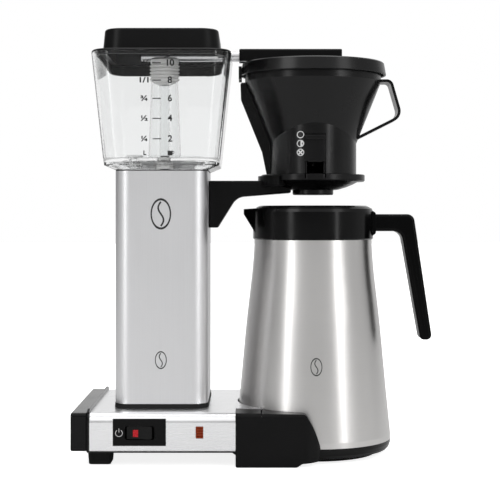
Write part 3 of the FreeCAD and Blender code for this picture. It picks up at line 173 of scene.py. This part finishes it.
def plastic(name, colour, rough, grain=2600.0, depth=4e-6, wear_and_highlight=0.02, gleam=0.5):
    """Moulded plastic: fine grain, slow cloudiness and paler edges, which are wear together with a painted
    edge highlight.

    grain is the scale of the grain and depth its relief. wear_and_highlight is how much paler the
    edges are, as wear and as a painted highlight, and gleam is the strength of reflections.
    """
    look = Look(name, Specular_IOR_Level=gleam)
    fine = look.noise(grain, detail=2.0)
    slow = look.noise(scale=26.0)
    # painted highlight: the edges are made paler than the body, standing for light caught on them as well as
    # for wear
    pale = tuple(min(1.0, channel + wear_and_highlight) for channel in colour)
    cloudy = tuple(channel * 0.75 for channel in colour)
    body = look.blend(look.span(slow, 0.0, 1.0), cloudy, colour)
    look.link(look.blend(look.edges(WEAR_AND_HIGHLIGHT_RADIUS), body, pale), "Base Color")
    look.link(look.span(slow, rough - 0.04, rough + 0.05), "Roughness")
    look.bump(fine, depth)
    return look.material


def rubber(name, colour):
    """Dull rubber with a fine grain."""
    look = Look(name, Specular_IOR_Level=0.25)
    fine = look.noise(scale=1800.0)
    look.mottle(look.noise(scale=60.0), colour, darker=0.6)
    look.link(look.span(fine, 0.62, 0.8), "Roughness")
    look.bump(fine, depth=1.2e-5)
    return look.material


def clear(name, tint, rough=0.02, ior=1.46, shade=0.1):
    """Moulded clear plastic with a faint flow pattern.

    To shadow and diffuse rays its alpha is only shade, so light reaches what is inside.
    """
    look = Look(name, Transmission_Weight=1.0, IOR=ior)
    lighting = either_ray(look.tree, "Is Shadow Ray", "Is Diffuse Ray")
    look.link(look.span(lighting, 1.0, shade, 0.0, 1.0), "Alpha")
    flow = look.noise(scale=16.0, detail=2.0, stretch=(1.0, 1.0, 0.35))
    look.mottle(flow, tint, darker=0.985)
    look.link(look.span(flow, rough, rough + 0.03), "Roughness")
    look.bump(flow, depth=4e-5)
    return look.material


def silicone(name, colour):
    """Milky silicone that lets a little light through."""
    look = Look(name, Transmission_Weight=0.15, IOR=1.3)
    cloud = look.noise(scale=120.0)
    look.mottle(cloud, colour, darker=0.9)
    look.link(look.span(cloud, 0.35, 0.5), "Roughness")
    look.bump(look.noise(scale=900.0), depth=6e-6)
    return look.material


def lens(name, colour, rough):
    """Coloured translucent plastic, mottled inside."""
    look = Look(name, Transmission_Weight=0.1, IOR=1.49, Specular_IOR_Level=0.25)
    cloud = look.noise(scale=700.0)
    look.mottle(cloud, colour, darker=0.8)
    look.link(look.span(cloud, rough, rough + 0.15), "Roughness")
    look.bump(cloud, depth=3e-6)
    return look.material


def ink(name, colour):
    """Screen-printed ink with slightly uneven cover."""
    look = Look(name)
    cover = look.noise(scale=2200.0, detail=2.0)
    look.mottle(cover, colour, darker=0.88)
    look.link(look.span(cover, 0.4, 0.55), "Roughness")
    look.bump(cover, depth=2e-6)
    return look.material


UPRIGHT = (2800.0, 2800.0, 9.0)      # the stretch of scratches that run upright
LEVEL = (9.0, 9.0, 3200.0)           # round a turned piece
ALONG_X = (7.0, 2800.0, 2800.0)
SATIN_BLACK = (0.0035, 0.0035, 0.0037)
DEEP_BLACK = (0.0015, 0.0015, 0.0016)

# by slot of the record
FINISHES = {
    "polished_aluminium": (metal, dict(colour=(0.92, 0.92, 0.93), rough=0.27, stretch=ALONG_X,
                                       contrast=0.015, anisotropic=0.2, relief=1.2e-7)),
    "brushed_aluminium": (metal, dict(colour=(0.78, 0.78, 0.79), rough=0.40, stretch=UPRIGHT,
                                      contrast=0.05, anisotropic=0.25)),
    "black_cover": (plastic, dict(colour=grey(0.008), rough=0.45, gleam=0.2)),
    "zinc_screw": (metal, dict(colour=(0.62, 0.62, 0.63), rough=0.32, stretch=LEVEL, contrast=0.15)),
    "black_plastic": (plastic, dict(colour=SATIN_BLACK, rough=0.34, grain=2400.0, wear_and_highlight=0.006, gleam=0.12)),
    "black_basket": (plastic, dict(colour=(0.004, 0.004, 0.0042), rough=0.24, grain=3200.0, depth=1e-6,
                                   wear_and_highlight=0.008, gleam=0.24)),
    "black_rubber": (rubber, dict(colour=grey(0.006))),
    "rocker_black": (plastic, dict(colour=grey(0.004), rough=0.14, grain=3000.0, depth=1e-6, wear_and_highlight=0.008,
                                   gleam=0.17)),
    "red_marker": (lens, dict(colour=(0.52, 0.008, 0.016), rough=0.2)),
    "amber_lens": (lens, dict(colour=(0.24, 0.028, 0.003), rough=0.2)),
    "wire_insulation": (rubber, dict(colour=(0.10, 0.10, 0.11))),
    "copper": (metal, dict(colour=(0.72, 0.38, 0.24), rough=0.36, stretch=UPRIGHT, contrast=0.25)),
    "element_steel": (metal, dict(colour=(0.42, 0.40, 0.38), rough=0.45, stretch=UPRIGHT, contrast=0.25)),
    "brass": (metal, dict(colour=(0.78, 0.60, 0.28), rough=0.3, stretch=LEVEL, contrast=0.12)),
    "valve_ball": (clear, dict(tint=(0.85, 0.90, 0.90), rough=0.15)),
    "silicone": (silicone, dict(colour=(0.93, 0.93, 0.92))),
    "clear_plastic": (clear, dict(tint=(0.93, 0.935, 0.935), ior=1.33)),
    "frosted_plastic": (clear, dict(tint=(0.97, 0.975, 0.975), rough=0.16, ior=1.22)),
    "strainer_plastic": (plastic, dict(colour=grey(0.82), rough=0.4)),
    "steel_tube": (metal, dict(colour=(0.72, 0.72, 0.73), rough=0.25, stretch=ALONG_X, contrast=0.06)),
    "brushed_steel": (metal, dict(colour=(0.65, 0.64, 0.63), rough=0.31, stretch=LEVEL, contrast=0.03,
                                  anisotropic=0.55, rotation=0.25, relief=5e-8)),
    "black_carafe": (plastic, dict(colour=DEEP_BLACK, rough=0.17, grain=2800.0, depth=1e-6, wear_and_highlight=0.004,
                                   gleam=0.2)),
}
MATERIALS = {slot: make(slot, **settings) for slot, (make, settings) in FINISHES.items()}
# two mouldings whose gloss isn't quite that of their slot
OWN_FINISH = {
    "left_end_cap": plastic("end_cap_plastic", SATIN_BLACK, rough=0.15, grain=2400.0, depth=2e-6,
                            wear_and_highlight=0.006, gleam=0.16),
    "carafe_handle": plastic("handle_plastic", DEEP_BLACK, rough=0.24, grain=2800.0, depth=1e-6,
                             wear_and_highlight=0.004, gleam=0.08),
}
WHITE_INK = ink("white_ink", grey(0.62))
GREY_INK = ink("grey_ink", grey(0.012))


def dress_nodes():
    """Gives every CAD node the finish of its slot in the record, or its own where it has one."""
    for entry in frame["record"]["subparts"]:
        node = NODES[entry["node"]]
        node.data.materials.clear()
        node.data.materials.append(OWN_FINISH.get(entry["node"], MATERIALS[entry["material_slot"]]))


# ---------------------------------------------------------------- printed marks
INK_GAP = 0.03 * MM                  # how far the ink stands off its surface
INK_THICK = 0.05 * MM
IN_FRONT = -1.0                      # y, in metres, well in front of the machine
JOIN = 1e-7                          # corners nearer than this, in metres, become one


def surface_of(node_name):
    mesh = NODES[node_name].data
    corners = [v.co.copy() for v in mesh.vertices]
    faces = [tuple(p.vertices) for p in mesh.polygons]
    return BVHTree.FromPolygons(corners, faces)


def print_on(name, mesh, node_name, body, material):
    """Lays a flat mesh, drawn in x and z, on the front of a CAD node as a thin film of ink."""
    tree = surface_of(node_name)
    for vertex in mesh.vertices:
        start = Vector((vertex.co.x, IN_FRONT, vertex.co.z))
        hit = tree.ray_cast(start, Vector((0.0, 1.0, 0.0)))[0]
        if hit is None:
            raise ValueError(f"{name} runs off {node_name}")
        vertex.co.y = hit.y - INK_GAP
    mark = bpy.data.objects.new(name, mesh)
    bpy.context.scene.collection.objects.link(mark)
    film = mark.modifiers.new("film", "SOLIDIFY")
    film.thickness = INK_THICK
    mesh.materials.append(material)
    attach(mark, body)


class Drawing:
    """Flat shapes in mm about a centre, made of small faces so that they can follow a surface."""

    def __init__(self, x, z):
        self.x, self.z = x, z
        self.mesh = bmesh.new()

    def point(self, x, z):
        return self.mesh.verts.new(((self.x + x) * MM, 0.0, (self.z + z) * MM))

    def band(self, outer, inner):
        """Fills between two lines that have the same number of points."""
        rows = [[self.point(*p) for p in line] for line in (outer, inner)]
        for i in range(len(outer) - 1):
            self.mesh.faces.new((rows[0][i], rows[0][i + 1], rows[1][i + 1], rows[1][i]))

    def arc(self, radius, width, start=0.0, end=360.0, x=0.0, z=0.0, steps=40):
        """A round line of that width, centred on radius."""
        lines = []
        for r in (radius + width / 2, radius - width / 2):
            turn = [math.radians(start + (end - start) * i / steps) for i in range(steps + 1)]
            lines.append([(x + r * math.cos(t), z + r * math.sin(t)) for t in turn])
        self.band(*lines)

    def disc(self, radius, start=0.0, end=360.0):
        """A filled disc or sector: an arc so wide that the hole in it can't be seen."""
        self.arc(radius / 2, radius * 0.999, start, end)

    def stroke(self, points, width):
        """A line of even width through points."""
        left, right = [], []
        for i, (x, z) in enumerate(points):
            x0, z0 = points[max(i - 1, 0)]
            x1, z1 = points[min(i + 1, len(points) - 1)]
            length = math.hypot(x1 - x0, z1 - z0)
            nx, nz = -(z1 - z0) / length * width / 2, (x1 - x0) / length * width / 2
            left.append((x + nx, z + nz))
            right.append((x - nx, z - nz))
        self.band(left, right)

    def done(self, name):
        bmesh.ops.remove_doubles(self.mesh, verts=self.mesh.verts, dist=JOIN)
        bmesh.ops.recalc_face_normals(self.mesh, faces=self.mesh.faces)
        mesh = bpy.data.meshes.new(name)
        self.mesh.to_mesh(mesh)
        self.mesh.free()
        return mesh


TYPE_SIZE = 1.38                     # the font's size for a figure 1 high
TYPE_WEIGHT = 0.2 * MM               # how much bolder than the plain font


def lettering(text, x, z, height, wide=1.0):
    """A flat mesh of printed figures, centred at x and z, in millimetres, widened by that factor."""
    curve = bpy.data.curves.new(text, "FONT")
    curve.body = text
    curve.size = height * TYPE_SIZE * MM
    curve.offset = TYPE_WEIGHT
    curve.align_x = "CENTER"
    curve.align_y = "CENTER"
    carrier = bpy.data.objects.new(text, curve)
    bpy.context.scene.collection.objects.link(carrier)
    bpy.context.view_layer.update()
    evaluated = carrier.evaluated_get(bpy.context.evaluated_depsgraph_get())
    mesh = bpy.data.meshes.new_from_object(evaluated)
    bpy.data.objects.remove(carrier)
    for vertex in mesh.vertices:
        vertex.co = (x * MM + vertex.co.x * wide, 0.0, z * MM + vertex.co.y)
    mesh.materials.clear()
    return mesh


LITRES_X, DASH_X, CUPS_X = -99.4, -88.4, -76.7   # the columns of the tank's scale
UNITS_Z = 275.7                                  # the row of the units below them
LITRES_HEIGHT, LITRES_WIDE, CUPS_HEIGHT, LETTER_HEIGHT = 4.6, 1.35, 5.8, 4.0
DASH_HALF, DASH_THICK = 3.8, 0.9
# (part of a litre, cups, height)
SCALE = [
    ("1¼", "10", 355.0),
    ("1/1", "8", 339.9),
    ("¾", "6", 323.9),
    ("½", "4", 306.3),
    ("¼", "2", 288.3),
]


def print_on_tank(name, mesh):
    print_on(name, mesh, "reservoir", "machine", GREY_INK)


def tank_scale():
    """The printed scale on the tank: parts of a litre, dashes and cups."""
    for litres, cups, z in SCALE:
        print_on_tank(f"scale_litres_{cups}", lettering(litres, LITRES_X, z, LITRES_HEIGHT, LITRES_WIDE))
        print_on_tank(f"scale_cups_{cups}", lettering(cups, CUPS_X, z, CUPS_HEIGHT))
        dash = Drawing(DASH_X, z)
        dash.stroke([(-DASH_HALF, 0), (DASH_HALF, 0)], DASH_THICK)
        print_on_tank(f"scale_dash_{cups}", dash.done("dash"))
    print_on_tank("scale_letter", lettering("L", LITRES_X, UNITS_Z, LETTER_HEIGHT))
    cup = Drawing(CUPS_X, UNITS_Z)
    cup.band([(-2.5, 2.1), (2.3, 2.1)], [(-2.2, -2.1), (2.0, -2.1)])
    cup.arc(1.1, 0.6, start=-90, end=90, x=2.2, z=0.5, steps=12)
    print_on_tank("scale_cup", cup.done("cup"))


DRIP_X, DRIP_RADIUS, DRIP_LINE, CROSS_LINE = 39.7, 2.9, 0.75, 1.3
DRIP_MARKS = (("open", 293.0), ("half", 285.0), ("shut", 277.0))    # with their heights


def drip_marks():
    """A ring, a ring half filled and a crossed ring beside the drip stop's slide."""
    for name, z in DRIP_MARKS:
        mark = Drawing(DRIP_X, z)
        mark.arc(DRIP_RADIUS, DRIP_LINE)
        if name == "half":
            mark.disc(DRIP_RADIUS, start=-90, end=90)
        if name == "shut":
            for side in (45, 135):
                dx = DRIP_RADIUS * math.cos(math.radians(side))
                dz = DRIP_RADIUS * math.sin(math.radians(side))
                mark.stroke([(-dx, -dz), (0, 0), (dx, dz)], CROSS_LINE)
        print_on(f"drip_mark_{name}", mark.done(name), "brew_basket", "basket", WHITE_INK)


POWER_X, POWER_Z, POWER_LINE = -119.9, 30.6, 0.5


def power_mark():
    """An open ring with an upright stroke, beside the rocker."""
    power = Drawing(POWER_X, POWER_Z)
    power.arc(3.0, POWER_LINE, start=125, end=415)
    power.stroke([(0, 0.6), (0, 4.0)], POWER_LINE)
    print_on("power_mark", power.done("power"), "switch_plate", "machine", WHITE_INK)


OUTLINE_STEPS, CREASE_STEPS = 60, 24


def bean(x, z, size):
    """A plain coffee bean: an upright oval outline with a wavy crease. size is half its height."""
    drawing = Drawing(x, z)
    outline = []
    for scale in (1.0, 0.86):
        turn = [math.radians(360 // OUTLINE_STEPS * i) for i in range(OUTLINE_STEPS + 1)]
        outline.append([(size * 0.66 * scale * math.cos(t), size * scale * math.sin(t)) for t in turn])
    drawing.band(*outline)
    crease = []
    for i in range(CREASE_STEPS + 1):
        wave = math.sin(2 * math.pi * i / CREASE_STEPS)
        crease.append((size * 0.17 * wave, size * 0.78 * (i / (CREASE_STEPS / 2) - 1)))
    drawing.stroke(crease, size * 0.11)
    return drawing.done("bean")


def bean_marks():
    for name, z, size in (("tower_bean_upper", 221.6, 14.0), ("tower_bean_lower", 91.0, 8.0)):
        print_on(name, bean(TOWER_X, z, size), "tower_shell", "machine", GREY_INK)
    print_on("carafe_bean", bean(BREW_X, 86.0, 8.0), "carafe_shell", "carafe", GREY_INK)


# ---------------------------------------------------------------- studio
FLOOR_HALF, FLOOR_DROP = 9.0, 0.2 * MM    # half its side, and how far it is below the feet
FLOOR_GREY = 0.78
FLOOR_GLOW = 0.84                         # its own light, for the camera only


def floor():
    """A large pale sheet with a faint mottle."""
    made = bmesh.new()
    corners = [(-1, -1), (1, -1), (1, 1), (-1, 1)]
    made.faces.new([made.verts.new((x * FLOOR_HALF, y * FLOOR_HALF, -FLOOR_DROP)) for x, y in corners])
    mesh = bpy.data.meshes.new("studio_floor")
    made.to_mesh(mesh)
    made.free()
    sheet = bpy.data.objects.new("studio_floor", mesh)
    bpy.context.scene.collection.objects.link(sheet)
    look = Look("floor_paper", Emission_Color=(1.0, 1.0, 1.0, 1.0))
    fibres = look.noise(scale=8.0)
    look.mottle(fibres, grey(FLOOR_GREY), darker=0.96)
    seen = look.node("LightPath").outputs["Is Camera Ray"]
    look.link(maths(look.tree, "MULTIPLY", seen, FLOOR_GLOW), "Emission Strength")
    look.link(look.span(fibres, 0.6, 0.75), "Roughness")
    mesh.materials.append(look.material)


# (name, place, target, width, height, watts)
LIGHTS = [
    ("key_left", (-1.1, -1.2, 1.3), (0, 0, 0.2), 0.7, 1.2, 8),
    ("fill_right", (1.2, -1.0, 0.9), (0, 0, 0.2), 0.5, 1.2, 4),
    ("top", (0.0, 0.2, 1.7), (0, 0, 0.2), 1.2, 0.9, 8),
    ("strip_left", (-1.13, -1.21, 0.35), (0.05, 0, 0.25), 0.26, 0.9, 2.4),
    ("strip_right", (1.14, -1.17, 0.35), (0.05, 0, 0.25), 0.14, 0.9, 1.9),
]


def area_lights():
    for name, place, target, width, height, watts in LIGHTS:
        light = bpy.data.lights.new(name, "AREA")
        light.shape = "RECTANGLE"
        light.size, light.size_y = width, height
        light.energy = watts
        lamp = bpy.data.objects.new(name, light)
        bpy.context.scene.collection.objects.link(lamp)
        lamp.location = place
        lamp.rotation_euler = (Vector(target) - Vector(place)).to_track_quat("-Z", "Y").to_euler()


TOP_LEVEL = 2.0           # the brightest that either curve can be
# (bearing from the camera in degrees, positive to the machine's right; brightness)
ROUND_THE_STUDIO = [
    (-180, 0.86), (-160, 0.75), (-146, 0.2), (-112, 0.12), (-98, 0.38), (-74, 0.45), (-62, 0.6),
    (-48, 0.8), (-36, 0.85), (-22, 0.76), (20, 0.76), (34, 0.85), (46, 0.9), (58, 0.85),
    (85, 0.6), (120, 0.42), (150, 0.75), (180, 0.86),
]
# (sine of the height angle; brightness against the rest of the same bearing)
UP_THE_FRONT = [(-1.0, 0.7), (-0.12, 0.7), (-0.03, 0.34), (0.12, 0.34), (0.3, 1.0), (0.55, 1.45), (1.0, 1.3)]
FRONT_DEPTH = 0.6         # the part of the way to straight in front at which UP_THE_FRONT holds in full


def brightness(tree, source, low, high, stops):
    """A smooth curve of brightness, as a share of TOP_LEVEL, over source, which runs from low to high."""
    place = add_node(tree, "MapRange", {"Value": source, "From Min": low, "From Max": high}).outputs["Result"]
    curve = add_node(tree, "ValToRGB", {"Fac": place})
    curve.color_ramp.interpolation = "EASE"
    elements = curve.color_ramp.elements
    while len(elements) > 1:
        elements.remove(elements[-1])
    for i, (at, level) in enumerate(stops):
        position = (at - low) / (high - low)
        stop = elements[0] if i == 0 else elements.new(position)
        stop.position = position
        stop.color = (*grey(level / TOP_LEVEL), 1.0)
    return curve.outputs["Color"]


def world():
    """A white studio, brighter above, with dim bands in front that show as dark stripes in metal."""
    studio = bpy.data.worlds.new("studio")
    studio.use_nodes = True
    tree = studio.node_tree
    tree.nodes.clear()
    direction = add_node(tree, "TexCoord").outputs["Generated"]
    split = add_node(tree, "SeparateXYZ", {"Vector": direction}).outputs
    to_front = maths(tree, "MULTIPLY", split["Y"], -1.0)
    bearing = maths(tree, "DEGREES", maths(tree, "ARCTAN2", split["X"], to_front))
    around = brightness(tree, bearing, -180.0, 180.0, ROUND_THE_STUDIO)
    upward = brightness(tree, split["Z"], -1.0, 1.0, UP_THE_FRONT)
    inputs = {"Value": to_front, "From Min": 0.0, "From Max": FRONT_DEPTH}
    frontness = add_node(tree, "MapRange", inputs).outputs["Result"]
    inputs = {"Factor": frontness, "A": 1.0 / TOP_LEVEL, "B": upward}
    by_height = add_node(tree, "Mix", inputs, data_type="FLOAT").outputs["Result"]
    level = maths(tree, "MULTIPLY", around, by_height)
    # each curve is a share of TOP_LEVEL, so their product is multiplied by it twice
    bands = add_node(tree, "Background", {"Color": level, "Strength": TOP_LEVEL * TOP_LEVEL})
    plain = add_node(tree, "Background", {"Color": (1.0, 1.0, 1.0, 1.0)})
    seen = either_ray(tree, "Is Camera Ray", "Is Transmission Ray")
    inputs = {0: seen, 1: bands.outputs["Background"], 2: plain.outputs["Background"]}
    choose = add_node(tree, "MixShader", inputs)
    add_node(tree, "OutputWorld", {"Surface": choose.outputs["Shader"]})
    bpy.context.scene.world = studio


CAMERA_AT = (-5.75 * MM, -1232.5 * MM, 220.6 * MM)
SENSOR_WIDTH, FOCAL_LENGTH, LENS_SHIFT = 36.0, 95.0, -0.07
SIGHT = 50.0              # how far it sees, in metres


def camera():
    """Straight in front and level, framed with a little lens shift."""
    optics = bpy.data.cameras.new("camera")
    optics.sensor_width = SENSOR_WIDTH
    optics.lens = FOCAL_LENGTH
    optics.shift_y = LENS_SHIFT
    optics.clip_end = SIGHT
    seat = bpy.data.objects.new("camera", optics)
    bpy.context.scene.collection.objects.link(seat)
    seat.location = CAMERA_AT
    seat.rotation_euler = (math.radians(90), 0.0, 0.0)
    bpy.context.scene.camera = seat


dress_nodes()
tank_scale()
drip_marks()
power_mark()
bean_marks()
floor()
world()
area_lights()
camera()
bpy.context.scene.view_settings.view_transform = "Standard"
